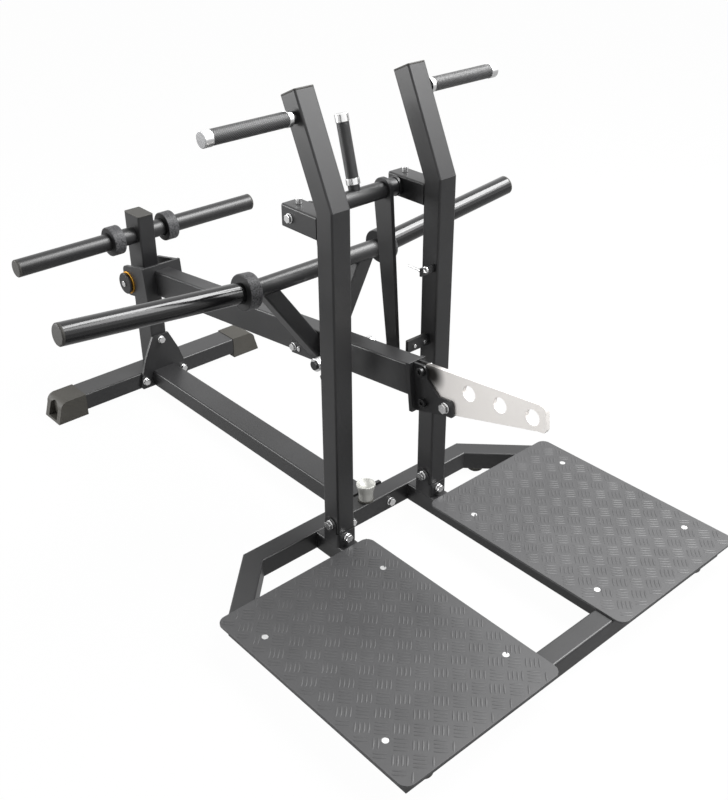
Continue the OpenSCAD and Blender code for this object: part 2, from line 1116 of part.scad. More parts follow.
module bumper_cup() {
    cup_r = cup_d / 2;
    rim_r = rim_d / 2;
    flare_h = rim_h / 2;
    lip_h = 4;
    dish = 11;
    dish_r = rim_r - 3;
    steps = 6;
    bowl = [for (i = [0:steps]) let (r = dish_r * (1 - i / steps))
        [r, rim_h - dish * (1 - pow(r / dish_r, 2))]];
    color(chrome)
        place()
            bumper_at()
                rotate_extrude()
                    polygon(concat([[0, bumper_base_t], [cup_r - 1, bumper_base_t],
                        [cup_r, flare_h], [rim_r, rim_h - lip_h - 1], [rim_r, rim_h - 1],
                        [rim_r - 1, rim_h]], bowl));
}

// Frame fasteners and the pivot

module frame_bolts() {
    color(chrome)
        place() {
            cross_bolts() {
                wall_bolt(tube + flange_t);
                translate([0, 0, -tube - flange_t])
                    rotate([180, 0, 0])
                        hex_head(bolt_head_d * 0.9, bolt_head_h);
            }
            gusset_bolts()
                wall_bolt(flange_t + tube_wall);
            socket_bolts()
                wall_bolt(collar_t + tube_wall);
            mirror([1, 0, 0])
                outer_socket_bolts()
                    wall_bolt(collar_t + tube_wall);
            both()
                pivot_at()
                    translate([pivot_cap_x + pivot_cap_t, 0, 0])
                        rotate([0, 90, 0])
                            cylinder(h = bolt_head_h / 2, r = bolt_head_d / 2, $fn = 6);
            strip_screws()
                rotate([90, 0, 0]) {
                    cylinder(h = 3, r = stop_screw_d * 0.75);
                    translate([0, 0, -strip_t - stop_pad_t / 2])
                        cylinder(h = strip_t + stop_pad_t / 2, r = stop_screw_d / 2);
                }
        }
}

ear_x = fork_half - ear_inset;
bush_flange_t = 3;
bush_flange_r = 33;
pivot_cap_r = 31.5;
pivot_cap_t = 5;
spacer_t = 5.2;
spacer_r = 26;
spacer_x = ear_x + bush_flange_t + side_play;
pivot_cap_x = spacer_x + spacer_t;

module pivot_at() {
    translate([0, pivot_y, pivot_z])
        children();
}

module pivot_shaft() {
    color(steel_black)
        place()
            pivot_at() {
                rod_x(-spacer_x, spacer_x, pivot_d / 2);
                both()
                    rod_x(tube / 2, ear_x - fork_t - side_play, pivot_d);
            }
}

module pivot_caps() {
    edge = 2;
    color("#1c1c1e")
        place()
            both()
                pivot_at() {
                    rod_x(spacer_x, pivot_cap_x, spacer_r);
                    rod_x(pivot_cap_x, pivot_cap_x + pivot_cap_t - edge, pivot_cap_r);
                    translate([pivot_cap_x + pivot_cap_t - edge, 0, 0])
                        rotate([0, 90, 0])
                            cylinder(h = edge, r1 = pivot_cap_r,
                                r2 = pivot_cap_r - edge);
                }
}

// Lever

// Touching point of a line from p to the circle of radius r at the origin
function touch(p, r, side) =
    let (d = norm(p), base = atan2(p.y, p.x), turn = side * acos(r / d))
        r * [cos(base + turn), sin(base + turn)];

module fork_web() {
    color(steel_black)
        place()
            lever_frame()
                translate([-fork_half, -fork_reach, fork_low])
                    cube([2 * fork_half, fork_t, fork_top - fork_low]);
}

module fork_ears() {
    web = -fork_reach + fork_t;
    high = [web, fork_top];
    low = [web, fork_low];
    high_c = [ear_back - ear_round, ear_top - ear_round];
    low_c = [ear_back - ear_round, ear_round - ear_low];
    color(steel_black)
        place()
            lever_frame()
                both()
                    difference() {
                        side_plate(ear_x - fork_t, ear_x)
                            union() {
                                for (c = [high_c, low_c])
                                    translate(c)
                                        circle(ear_round);
                                polygon([high, high_c + touch(high - high_c, ear_round, -1),
                                    high_c + [ear_round, 0], low_c + [ear_round, 0],
                                    low_c + touch(low - low_c, ear_round, 1), low]);
                            }
                        rod_x(0, 2 * fork_half, bush_r);
                    }
}

bush_r = pivot_d / 2 + 3;

module pivot_bushes() {
    color("#c9962e")
        place()
            lever_frame()
                both()
                    difference() {
                        union() {
                            rod_x(ear_x - fork_t, ear_x, bush_r - run_fit);
                            rod_x(ear_x, ear_x + bush_flange_t, bush_flange_r);
                        }
                        rod_x(0, 2 * fork_half, pivot_d / 2 + run_fit);
                    }
}

module lever_beam() {
    color(steel_black)
        place()
            lever_frame()
                difference() {
                    translate([0, 0, lever_up])
                        tube_y(-lever_front, -fork_reach, tube, lever_h);
                    translate([0, -catch_reach, -catch_down])
                        rod_x(-tube, tube, catch_pin_r + plug_fit);
                    pad_bolts()
                        rod_x(-tube, tube, pad_bolt_r + bolt_fit);
                    pad_screws()
                        rod_x(-tube, tube, pad_screw_r + bolt_fit);
                }
}

// The V arms run from the lever's sides up to the load bar
module v_arms() {
    color(steel_black)
        place()
            lever_frame()
                both()
                    difference() {
                        translate([tube / 2, -v_reach, v_foot_up])
                            rotate([0, v_angle, 0])
                                tube_z(-v_tube, v_len + v_tube, v_tube, v_tube);
                        translate([tube / 2 - 2 * v_tube, -v_reach - v_tube, -3 * v_tube])
                            cube([2 * v_tube, 2 * v_tube, 6 * v_tube]);
                        translate([0, -v_reach - v_tube, bar_up])
                            cube([2 * load_collar_x, 2 * v_tube, 3 * v_tube]);
                        load_at()
                            rod_x(0, 2 * load_collar_x, bar_d / 2);
                        v_pad_block();
                    }
}

pad_t = 5;
pad_low = lever_low - 4;
pad_high = lever_low + 26;
pad_back = -v_reach + v_tube / 2 + 70;
pad_front = -v_reach - v_tube / 2 - 5;
pad_bolt_r = 6;
pad_bolt_z = lever_low + 14;

module v_pad_block() {
    translate([tube / 2, pad_front, pad_low])
        cube([pad_t, pad_back - pad_front, pad_high - pad_low]);
}

pad_screw_r = 3;

module pad_bolts() {
    translate([0, pad_back - 12, pad_bolt_z])
        children();
}

module pad_screws() {
    translate([0, pad_back - 31, pad_bolt_z - 2])
        children();
}

module v_pads() {
    color(steel_black)
        place()
            lever_frame()
                both()
                    difference() {
                        v_pad_block();
                        pad_bolts()
                            rod_x(0, tube, pad_bolt_r + bolt_fit);
                        pad_screws()
                            rod_x(0, tube, pad_screw_r + bolt_fit);
                    }
}

// Load bar, horns and collars
module load_at() {
    translate([0, -bar_reach, bar_up])
        children();
}

module horn_frame() {
    load_at()
        translate([load_collar_x, 0, 0])
            rotate([0, -horn_tilt, 0])
                children();
}

horn_run = (load_half - load_collar_x) / cos(horn_tilt);

// The bar's ends are cut on the slope of the load horns
module load_bar() {
    color(steel_black)
        place()
            lever_frame()
                difference() {
                    load_at()
                        rod_x(-load_collar_x - bar_d, load_collar_x + bar_d, bar_d / 2);
                    both()
                        horn_frame()
                            translate([0, -bar_d, -bar_d])
                                cube(2 * bar_d);
                }
}

module load_horns() {
    color(steel_gloss)
        place()
            lever_frame()
                both()
                    horn_frame()
                        difference() {
                            rod_x(load_collar_len, horn_run - cap_t, horn_r);
                            rod_x(horn_run - 3 * cap_t, horn_run, horn_r - tube_wall);
                        }
}

module load_collars() {
    color("#3d3d3f")
        place()
            lever_frame()
                both()
                    horn_frame()
                        rod_x(0, load_collar_len, load_collar_d / 2);
}

module load_caps() {
    color("#1c1c1e")
        place()
            lever_frame()
                both()
                    horn_frame()
                        translate([horn_run - cap_t, 0, 0])
                            horn_cap();
}

// Catch pin and its sleeves
catch_pin_r = 8;

module catch_at() {
    translate([0, -catch_reach, -catch_down])
        children();
}

module catch_pin() {
    color("#2b2b30")
        place()
            lever_frame()
                catch_at() {
                    rod_x(-catch_half, catch_half, catch_pin_r);
                    both()
                        rod_x(catch_half, catch_half + 5, catch_pin_r + 3);
                }
}

module catch_sleeves() {
    color(chrome)
        place()
            lever_frame()
                both()
                    catch_at()
                        difference() {
                            rod_x(tube / 2, catch_half, catch_d / 2);
                            rod_x(0, catch_half + 1, catch_pin_r + run_fit);
                        }
}

// Front end: flange, cheeks and tongue

front_flange_t = 10;
flange_drop = 39;
tongue_root = -lever_front - front_flange_t;
tongue_top = lever_top + 3;
cheek_bolt_y = tongue_root - 26;
cheek_bolt_high = lever_top - 14;
cheek_bolt_low = lever_low - 12;
hub_y = tongue_root - 91;
hub_z = lever_low - 5;
hub_r = 20;
hub_round = 8;
cheek_bolt_r = 6;

module front_flange() {
    color(steel_black)
        place()
            lever_frame()
                translate([-front_flange_w / 2, tongue_root, lever_low - flange_drop])
                    cube([front_flange_w, front_flange_t, lever_h + flange_drop + 2]);
}

module cheek_bolts() {
    for (p = [[cheek_bolt_y, cheek_bolt_high], [cheek_bolt_y, cheek_bolt_low],
        [hub_y, hub_z]])
        translate([0, p.x, p.y])
            children();
}

module cheek_plates() {
    low = lever_low - flange_drop;
    corner_r = 14;
    color(steel_black)
        place()
            lever_frame()
                both()
                    difference() {
                        side_plate(tongue_t / 2, tongue_t / 2 + cheek_t)
                            union() {
                                polygon([
                                    [tongue_root, low],
                                    [tongue_root, cheek_bolt_high + corner_r],
                                    [cheek_bolt_y, cheek_bolt_high + corner_r],
                                    [cheek_bolt_y - corner_r, cheek_bolt_high],
                                    [cheek_bolt_y - corner_r, cheek_bolt_high - corner_r],
                                    [hub_y + hub_r * 0.7, hub_z + hub_r * 0.7],
                                    [hub_y, hub_z - hub_r]
                                ]);
                                translate([cheek_bolt_y, cheek_bolt_high])
                                    circle(corner_r);
                                translate([hub_y, hub_z])
                                    round_rect(2 * hub_r + 4, 2 * hub_r, hub_round);
                            }
                        cheek_bolts()
                            rod_x(-tube, tube, cheek_bolt_r + bolt_fit);
                    }
}

module belt_holes() {
    for (i = [0:2])
        translate([0, -tongue_tip + belt_inset + i * belt_pitch, tongue_top - belt_drop])
            children();
}

module belt_tongue() {
    low = lever_low - flange_drop + 4;
    nose_low = -6;
    shoulder = 30;
    shoulder_drop = 11;
    color(stainless)
        place()
            lever_frame()
                difference() {
                    side_plate(-tongue_t / 2, tongue_t / 2)
                        polygon([
                            [tongue_root, low],
                            [hub_y, hub_z - hub_r + 2],
                            [-tongue_tip + 22, nose_low - 6],
                            [-tongue_tip + 6, nose_low - 5],
                            [-tongue_tip, nose_low + 3],
                            [-tongue_tip, tongue_top - 13],
                            [-tongue_tip + 4, tongue_top - 4],
                            [-tongue_tip + 13, tongue_top],
                            [tongue_root - shoulder - 4, tongue_top],
                            [tongue_root - shoulder, tongue_top - shoulder_drop],
                            [tongue_root, tongue_top - shoulder_drop]
                        ]);
                    belt_holes()
                        rod_x(-tongue_t, tongue_t, belt_hole_d / 2);
                    cheek_bolts()
                        rod_x(-tongue_t, tongue_t, cheek_bolt_r + bolt_fit);
                }
}

// Socket head screws with their heads on the left cheek
module cheek_screws() {
    cheek = tongue_t / 2 + cheek_t;
    head = 10;
    socket_r = 5;
    color("#1c1c1e")
        place()
            lever_frame()
                for (z = [cheek_bolt_high, cheek_bolt_low])
                    translate([0, cheek_bolt_y, z])
                        difference() {
                            union() {
                                rod_x(-cheek, cheek + bolt_head_h, cheek_bolt_r);
                                rod_x(-cheek - head, -cheek, head);
                            }
                            translate([-cheek - head - 1, 0, 0])
                                rotate([0, 90, 0])
                                    cylinder(h = head / 2, r = socket_r, $fn = 6);
                        }
}

module lever_bolts() {
    cheek = tongue_t / 2 + cheek_t;
    color(chrome)
        place()
            lever_frame() {
                for (z = [cheek_bolt_high, cheek_bolt_low])
                    translate([cheek, cheek_bolt_y, z])
                        rotate([0, 90, 0])
                            difference() {
                                hex_head(bolt_head_d * 0.9, bolt_head_h / 2);
                                rod_z(-1, bolt_head_h * 2, cheek_bolt_r + run_fit);
                            }
                translate([0, hub_y, hub_z]) {
                    rod_x(-cheek, cheek, cheek_bolt_r);
                    both()
                        translate([cheek, 0, 0])
                            rotate([0, 90, 0])
                                hex_head(bolt_head_d, bolt_head_h);
                }
                pad_bolts()
                    rod_x(-tube / 2 - pad_t, tube / 2 + pad_t, pad_bolt_r);
                both()
                    translate([tube / 2 + pad_t, 0, 0]) {
                        pad_bolts()
                            rotate([0, 90, 0])
                                hex_head(bolt_head_d * 0.8, bolt_head_h * 0.8);
                        pad_screws() {
                            rod_x(-pad_t - tube_wall, 0, pad_screw_r);
                            rod_x(0, 3, 2 * pad_screw_r);
                        }
                    }
            }
}

// Moving lock: tube, arms and release handle

module lock_tube() {
    color(steel_black)
        place()
            lock_frame(lock_clear)
                difference() {
                    union() {
                        rod_x(-arm_in, arm_in, lock_tube_d / 2);
                        both()
                            rod_x(arm_out, boss_end, boss_r);
                    }
                    rod_x(-boss_end - 1, boss_end + 1, shaft_d / 2 + run_fit);
                }
}

// The catch pin's place as the engaged hook sees it
catch_dy = pivot_y - catch_reach * cos(lever_tilt) - catch_down * sin(lever_tilt) - shaft_y;
catch_dz = pivot_z + catch_reach * sin(lever_tilt) - catch_down * cos(lever_tilt) - lock_z;
catch_far = norm([catch_dy, catch_dz]);
seat_r = catch_far + catch_d / 2 + hook_play;

// The hook hangs below the catch sleeve; its seat is an arc around the shaft
hook_t = 18;
hook_nose = 9;
hook_tip_y = catch_dy + 7.5;
throat_y = catch_dy - catch_d / 2 - 6;
shank_back = catch_dy - catch_d / 2 - 18;
shank_front = shank_back - 36;
shank_z = catch_dz + 24;
throat_z = catch_dz - 4;
shoulder_z = -34;
toe_y = hook_tip_y - 3;
heel_y = shank_front + 14;

module prop_arm_shape() {
    throat_a = acos(throat_y / seat_r);
    tip_a = acos(hook_tip_y / seat_r);
    steps = 8;
    seat = [for (i = [0:steps])
        let (a = throat_a + (tip_a - throat_a) * i / steps)
            seat_r * [cos(a), -sin(a)]];
    under = [for (i = [0:steps])
        let (y = toe_y + (heel_y - toe_y) * i / steps,
            r = seat_r + hook_t - hook_nose * (1 - sin(180 * i / steps)))
            [y, -sqrt(r * r - y * y)]];
    circle(arm_ring_r);
    polygon(concat(
        [[-arm_ring_r, 0], [arm_ring_r, 0], [arm_ring_r, shoulder_z],
            [shank_back, shank_z], [shank_back + 2, throat_z]],
        seat, under,
        [[shank_front, throat_z], [shank_front, shank_z], [-arm_ring_r, shoulder_z]]
    ));
}

module prop_arms() {
    color(steel_black)
        place()
            lock_frame(lock_clear)
                both()
                    difference() {
                        side_plate(arm_in, arm_out)
                            prop_arm_shape();
                        rod_x(0, 2 * arm_out, shaft_d / 2 + run_fit);
                    }
}

// The release handle leans back from the tube
module release_frame() {
    translate([release_x, shaft_y, lock_z])
        rotate([-release_lean, 0, 0])
            children();
}

release_x = 5;
release_end = 18;
release_base = 43;
release_ring = 14;
release_neck_r = 13;
stem_r = 9;

module release_stem() {
    color(steel_black)
        place()
            release_frame()
                difference() {
                    union() {
                        rod_z(0, release_len - release_end, stem_r);
                        rod_z(0, release_base - release_ring, release_neck_r);
                    }
                    rod_x(-tube, tube, lock_tube_d / 2);
                }
}

module release_grip() {
    color("#2a2a2c")
        place()
            release_frame()
                difference() {
                    rod_z(release_base, release_len - release_end, release_d / 2);
                    rod_z(0, release_len, stem_r + run_fit);
                }
}

// Chrome ring below the grip and a chrome end above it
module release_collars() {
    edge = 1.5;
    r = release_d / 2 + edge;
    color(chrome)
        place()
            release_frame() {
                difference() {
                    rod_z(release_base - release_ring, release_base, r);
                    rod_z(0, release_len, stem_r + run_fit);
                }
                rod_z(release_len - release_end, release_len - edge, r);
                translate([0, 0, release_len - edge])
                    cylinder(h = edge, r1 = r, r2 = r - edge);
            }
}

cross_tube();
corner_tubes();
side_rails();
front_rail();
inner_rails();
foot_plate_left();
foot_plate_right();
plate_screws();
dome_feet();
beam_flanges();
centre_beam();
rear_foot_tube();
rear_blocks();
rear_post();
tube_caps();
storage_necks();
storage_horns();
storage_collars();
storage_caps();
uprights();
upright_heads();
upright_sockets();
handle_bars();
handle_grips();
handle_ends();
lock_brackets();
lock_shaft();
lock_washers();
bracket_studs();
stop_plates();
eye_bolt();
stop_pad();
bumper_base();
bumper_cup();
frame_bolts();
pivot_shaft();
pivot_caps();
fork_web();
fork_ears();
pivot_bushes();
lever_beam();
v_arms();
v_pads();
load_bar();
load_horns();
load_collars();
load_caps();
catch_pin();
catch_sleeves();
front_flange();
cheek_plates();
belt_tongue();
cheek_screws();
lever_bolts();
lock_tube();
prop_arms();
release_stem();
release_grip();
release_collars();
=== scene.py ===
# %% [markdown]
# # Belt squat machine
#
# A gym machine made of welded square tube. The user stands on two tread plates,
# hooks a belt to the steel tongue and squats, and the lever behind swings on the
# rear post with its weight plates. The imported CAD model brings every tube, pin
# and plate in its true place; this notebook gives each one the edge, the surface
# and the light that the real one has.

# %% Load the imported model
import bpy
import bmesh
import json
import math
from mathutils import Matrix, Vector


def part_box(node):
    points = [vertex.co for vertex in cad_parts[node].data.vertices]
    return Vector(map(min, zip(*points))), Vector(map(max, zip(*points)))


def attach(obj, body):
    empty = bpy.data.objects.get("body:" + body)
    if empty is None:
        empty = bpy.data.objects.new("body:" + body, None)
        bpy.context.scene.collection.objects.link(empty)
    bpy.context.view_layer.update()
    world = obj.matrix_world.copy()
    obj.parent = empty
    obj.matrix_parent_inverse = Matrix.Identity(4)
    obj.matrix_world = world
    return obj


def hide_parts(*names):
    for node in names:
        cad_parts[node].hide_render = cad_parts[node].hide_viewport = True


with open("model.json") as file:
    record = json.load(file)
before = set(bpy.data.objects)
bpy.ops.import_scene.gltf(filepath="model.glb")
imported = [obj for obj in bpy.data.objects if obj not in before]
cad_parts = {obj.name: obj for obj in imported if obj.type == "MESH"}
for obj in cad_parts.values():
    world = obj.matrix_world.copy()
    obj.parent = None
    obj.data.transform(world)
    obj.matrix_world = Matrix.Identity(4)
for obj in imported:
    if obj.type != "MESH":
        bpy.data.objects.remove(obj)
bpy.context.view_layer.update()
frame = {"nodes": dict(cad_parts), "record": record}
mm = 0.001
scene = bpy.context.scene
body_of = {n: b for b, ns in frame["record"]["behaviour"]["bodies"].items() for n in ns}

# %% [markdown]
# ## Colour and shader helpers
#
# Paint colours are noted as sRGB hex values, as a paint card gives them, and the
# shader wants linear light, so one function converts them. A second small
# function adds a shader node with its settings and its links in one line, which
# keeps each finish readable as a recipe. A third blends two colours.

# %% Colour and node helpers
def linear(hex_colour):
    channels = [int(hex_colour[i:i + 2], 16) / 255 for i in (1, 3, 5)]
    return tuple(c / 12.92 if c <= 0.04045 else ((c + 0.055) / 1.055) ** 2.4 for c in channels) + (1,)


def add(tree, kind, sockets=None, **settings):
    made = tree.nodes.new(kind)
    for name, value in settings.items():
        setattr(made, name, value)
    for name, value in (sockets or {}).items():
        socket = made.inputs[name]
        if isinstance(value, bpy.types.NodeSocket):
            tree.links.new(value, socket)
        else:
            socket.default_value = value
    return made


def blended(tree, factor, first, second):
    mixed = add(tree, "ShaderNodeMix", {"Factor": factor}, data_type="RGBA")
    for letter, colour in (("A", first), ("B", second)):
        if isinstance(colour, str):
            mixed.inputs[letter].default_value = linear(colour)
        else:
            tree.links.new(colour, mixed.inputs[letter])
    return mixed.outputs["Result"]


def new_finish(name, **values):
    material = bpy.data.materials.new(name)
    material.use_nodes = True
    shader = material.node_tree.nodes["Principled BSDF"]
    for socket, value in values.items():
        shader.inputs[socket.replace("_", " ")].default_value = value
    return material, material.node_tree, shader


print("helpers stand ready")

# %% [markdown]
# ## Powder coat
#
# The frame is powder coated: plastic powder is baked on the steel, and it flows
# into a semi-gloss film with a fine orange peel. That gives a soft broad
# highlight, brighter edges and a faint grain. Two noise sizes make it: a fine one
# for the peel, and a slow one that shifts the tone over a hand's width. The grain
# is drawn at 1.6 mm, coarser than the real 0.5 mm, so that it shows. Most of the
# noise lies near its middle, and that part is stretched over both tones.

# %% Powder coat recipe
slow_scale, noise_low, noise_high = 9, 0.3, 0.7
gloss_spread, peel_deep = 0.05, 0.2


def coated(name, dark, light, roughness, peel_mm=1.6, bump=0.12, ior=1.5, peel_share=0.35):
    material, tree, shader = new_finish(name, IOR=ior)
    place = add(tree, "ShaderNodeTexCoord").outputs["Object"]
    slow = add(tree, "ShaderNodeTexNoise", {"Vector": place, "Scale": slow_scale, "Detail": 3})
    peel = add(tree, "ShaderNodeTexNoise", {"Vector": place, "Scale": 1 / (peel_mm * mm), "Detail": 2})
    speck = add(tree, "ShaderNodeMix", {"Factor": peel_share, "A": slow.outputs["Fac"],
                                        "B": peel.outputs["Fac"]})
    wide = add(tree, "ShaderNodeMapRange", {"Value": speck.outputs["Result"], "From Min": noise_low,
                                            "From Max": noise_high})
    tree.links.new(blended(tree, wide.outputs["Result"], dark, light), shader.inputs["Base Color"])
    rough = add(tree, "ShaderNodeMapRange", {"Value": peel.outputs["Fac"], "To Min": roughness - gloss_spread,
                                             "To Max": roughness + gloss_spread})
    tree.links.new(rough.outputs["Result"], shader.inputs["Roughness"])
    relief = add(tree, "ShaderNodeBump", {"Height": peel.outputs["Fac"], "Strength": bump,
                                          "Distance": peel_deep * mm})
    tree.links.new(relief.outputs["Normal"], shader.inputs["Normal"])
    return material


frame_coat = coated("semi-gloss charcoal powder coat", "#242425", "#2e2e2f", 0.36, bump=0.22)
plate_coat = coated("grey powder coat on tread plate", "#434344", "#505051", 0.44, 2.0, 0.3)
horn_gloss = coated("gloss black paint on plate horns", "#161617", "#1b1b1c", 0.14, 4, 0.02)
horn_satin = coated("satin black paint on storage horns", "#1e1e1f", "#262627", 0.34, 2.5, 0.1)
collar_coat = coated("hammered dark enamel on collars", "#1e1e1f", "#666668", 0.5, 3.6, 0.8, 1.35, 0.9)
print("five paint finishes")

# %% [markdown]
# The flat ends of the collars are painted darker than the hammered barrel: painted shade, for
# faces that the lamps leave dark. The normal in the object's own space tells the
# two apart, so it goes with the lever when it swings.

# %% Painted shade on the collar ends
tree = collar_coat.node_tree
shader = tree.nodes["Principled BSDF"]
barrel_tone = shader.inputs["Base Color"].links[0].from_socket
normal = add(tree, "ShaderNodeTexCoord").outputs["Normal"]
split = add(tree, "ShaderNodeSeparateXYZ", {"Vector": normal})
along_x = add(tree, "ShaderNodeMath", {0: split.outputs["X"]}, operation="ABSOLUTE")
painted_shade_on_end = add(tree, "ShaderNodeMapRange", {"Value": along_x.outputs[0], "From Min": 0.8, "From Max": 0.95})
# Painted shade: faces that point along X get a darker colour than the barrel.
tree.links.new(blended(tree, painted_shade_on_end.outputs["Result"], barrel_tone, "#1c1c1d"), shader.inputs["Base Color"])
print("collar ends are darker")

# %% [markdown]
# ## Bare and plated metal
#
# Sleeves and handle ends are chrome plated steel: bright, almost a mirror. Bolts
# are zinc plated, and the bumper cup and the plate screws are duller still. The
# tongue is stainless steel sheet with a brushed grain, drawn by a noise that is
# stretched along the sheet. The bush is yellow zinc or brass.

# %% Metal recipes
grain_deep = 0.05


def metal(name, colour, roughness, grain_mm=(1.5, 1.5, 1.5), spread=0.04, bump=0.0):
    material, tree, shader = new_finish(name, Metallic=1.0)
    shader.inputs["Base Color"].default_value = linear(colour)
    place = add(tree, "ShaderNodeTexCoord").outputs["Object"]
    sized = add(tree, "ShaderNodeMapping", {"Vector": place, "Scale": [1 / (g * mm) for g in grain_mm]})
    grain = add(tree, "ShaderNodeTexNoise", {"Vector": sized.outputs["Vector"], "Scale": 1, "Detail": 2})
    rough = add(tree, "ShaderNodeMapRange", {"Value": grain.outputs["Fac"], "To Min": roughness - spread,
                                             "To Max": roughness + spread})
    tree.links.new(rough.outputs["Result"], shader.inputs["Roughness"])
    if bump:
        relief = add(tree, "ShaderNodeBump", {"Height": grain.outputs["Fac"], "Strength": bump,
                                              "Distance": grain_deep * mm})
        tree.links.new(relief.outputs["Normal"], shader.inputs["Normal"])
    return material


chrome_tone, chrome_rough, stainless_tone = "#e6e6e6", 0.26, "#f4f1ee"
chrome = metal("chrome plating", chrome_tone, chrome_rough)
zinc = metal("bright zinc plating", chrome_tone, 0.36)
stainless = metal("brushed stainless steel", stainless_tone, 0.62, (2, 40, 0.8), 0.08, 0.15)
satin_zinc = metal("satin zinc plating of the bumper cup", "#bebeba", 0.6)
screw_zinc = metal("dull zinc plating of the plate screws", "#bebebe", 0.5)
brass = metal("satin brass", "#fabb4c", 0.42)
print("six metal finishes")

# %% [markdown]
# ## Painted shade on the faces of the hand grips
#
# The chrome end of a hand grip is polished on its barrel, and its flat face is
# painted a duller grey: painted shade, for a face that the lamps leave dark. The
# distance from the middle of the machine tells the face from the barrel.

# %% Painted shade on the end faces
chrome_with_painted_shade_face = metal("chrome plating with painted shade on the end face", chrome_tone, chrome_rough)
tree = chrome_with_painted_shade_face.node_tree
grip_end, face_from, face_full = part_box("handle_ends")[1][0], 0.6, 0.3
place = add(tree, "ShaderNodeTexCoord").outputs["Object"]
split = add(tree, "ShaderNodeSeparateXYZ", {"Vector": place})
outward = add(tree, "ShaderNodeMath", {0: split.outputs["X"]}, operation="ABSOLUTE")
painted_shade_on_face = add(tree, "ShaderNodeMapRange", {"Value": outward.outputs[0],
                                           "From Min": grip_end - face_from * mm,
                                           "From Max": grip_end - face_full * mm})
# Painted shade: the flat end face is coloured a darker grey than the chrome barrel.
tone = blended(tree, painted_shade_on_face.outputs["Result"], chrome_tone, "#8a8a8b")
tree.links.new(tone, tree.nodes["Principled BSDF"].inputs["Base Color"])
print("painted shade on end faces at", round(grip_end, 4), "m")

# %% [markdown]
# ## Painted reflection on the tongue
#
# The belt tongue is painted darker towards the top of its clamp: a painted
# reflection of the dark cheek plates beside it. The patch fades between one and four and a half
# centimetres from one point, so the distance from that point drives the colour.

# %% Painted reflection patch
reflection_patch_centre, reflection_patch_mm = (0, -0.374, 0.514), (10, 46)
tree = stainless.node_tree
place = add(tree, "ShaderNodeTexCoord").outputs["Object"]
away = add(tree, "ShaderNodeVectorMath", {0: place, 1: reflection_patch_centre}, operation="DISTANCE")
painted_reflection_fade = add(tree, "ShaderNodeMapRange", {"Value": away.outputs["Value"], "From Min": reflection_patch_mm[0] * mm,
                                        "From Max": reflection_patch_mm[1] * mm}, interpolation_type="SMOOTHSTEP")
# Painted reflection: the sheet turns dark near the clamp, standing in for the dark cheek plates it mirrors.
sheen = blended(tree, painted_reflection_fade.outputs["Result"], "#3a3836", stainless_tone)
tree.links.new(sheen, tree.nodes["Principled BSDF"].inputs["Base Color"])
print("painted reflection patch from", reflection_patch_mm[0], "to", reflection_patch_mm[1], "mm")

# %% [markdown]
# ## Knurled grips
#
# The hand grips are blackened steel sleeves with a diamond knurl: two sets of
# shallow grooves, rolled into the bar as left and right handed helices. The
# pattern follows the sleeve's own axis, so the Mapping node first brings that
# axis to X. Around it the angle counts the grooves and along it the length does.
# The real grooves lie about 1.2 mm apart and are drawn at 4.6 mm so that they
# show.

# %% Knurl recipe
groove_mm, groove_deep, groove_bump, knurl_rough = 4.6, 0.5, 0.7, 0.36


def knurled(name, centre, tilt_deg, radius_mm):
    material, tree, shader = new_finish(name, Metallic=0.0, IOR=1.5, Roughness=knurl_rough)
    place = add(tree, "ShaderNodeTexCoord").outputs["Object"]
    turned = add(tree, "ShaderNodeMapping", {"Vector": place, "Location": centre,
                                             "Rotation": [math.radians(a) for a in tilt_deg]},
                 vector_type="TEXTURE")
    split = add(tree, "ShaderNodeSeparateXYZ", {"Vector": turned.outputs["Vector"]})
    around = add(tree, "ShaderNodeMath", {0: split.outputs["Y"], 1: split.outputs["Z"]},
                 operation="ARCTAN2")
    starts = round(2 * math.pi * radius_mm / groove_mm)
    along = add(tree, "ShaderNodeMath", {0: split.outputs["X"], 1: 2 * math.pi / (groove_mm * mm)},
                operation="MULTIPLY")
    turns = add(tree, "ShaderNodeMath", {0: around.outputs[0], 1: starts}, operation="MULTIPLY")
    waves = []
    for hand in ("ADD", "SUBTRACT"):
        helix = add(tree, "ShaderNodeMath", {0: along.outputs[0], 1: turns.outputs[0]}, operation=hand)
        waves.append(add(tree, "ShaderNodeMath", {0: helix.outputs[0]}, operation="SINE"))
    peaks = add(tree, "ShaderNodeMath", {0: waves[0].outputs[0], 1: waves[1].outputs[0]},
                operation="MINIMUM")
    height = add(tree, "ShaderNodeMapRange", {"Value": peaks.outputs[0], "From Min": -1.0, "From Max": 0.8})
    # Painted shade in the grooves: the colour runs from near black in the grooves to mid grey on the peaks.
    shade = blended(tree, height.outputs["Result"], "#161617", "#5c5c5d")
    tree.links.new(shade, shader.inputs["Base Color"])
    relief = add(tree, "ShaderNodeBump", {"Height": height.outputs["Result"], "Strength": groove_bump,
                                          "Distance": groove_deep * mm})
    tree.links.new(relief.outputs["Normal"], shader.inputs["Normal"])
    return material


def middle(name):
    low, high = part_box(name)
    return (Vector(low) + Vector(high)) / 2


grip_middle, grip_r = middle("handle_grips"), 15.5
release_lean, release_r = 14.5, 13
handle_knurl = knurled("knurled black steel of the hand grips", (0, grip_middle.y, grip_middle.z),
                       (0, 0, 0), grip_r)
release_knurl = knurled("knurled black steel of the release grip", middle("release_grip"),
                        (0, 90, 90 - release_lean), release_r)
print("knurl on the hand grips and the release grip")

# %% [markdown]
# ## Rubber, plastic and black steel
#
# The feet are moulded rubber, warm black and dull. Tube caps are polyethylene
# with a fine spark texture from the mould. Screws and pivot caps are black
# oxide steel, which keeps a satin shine.

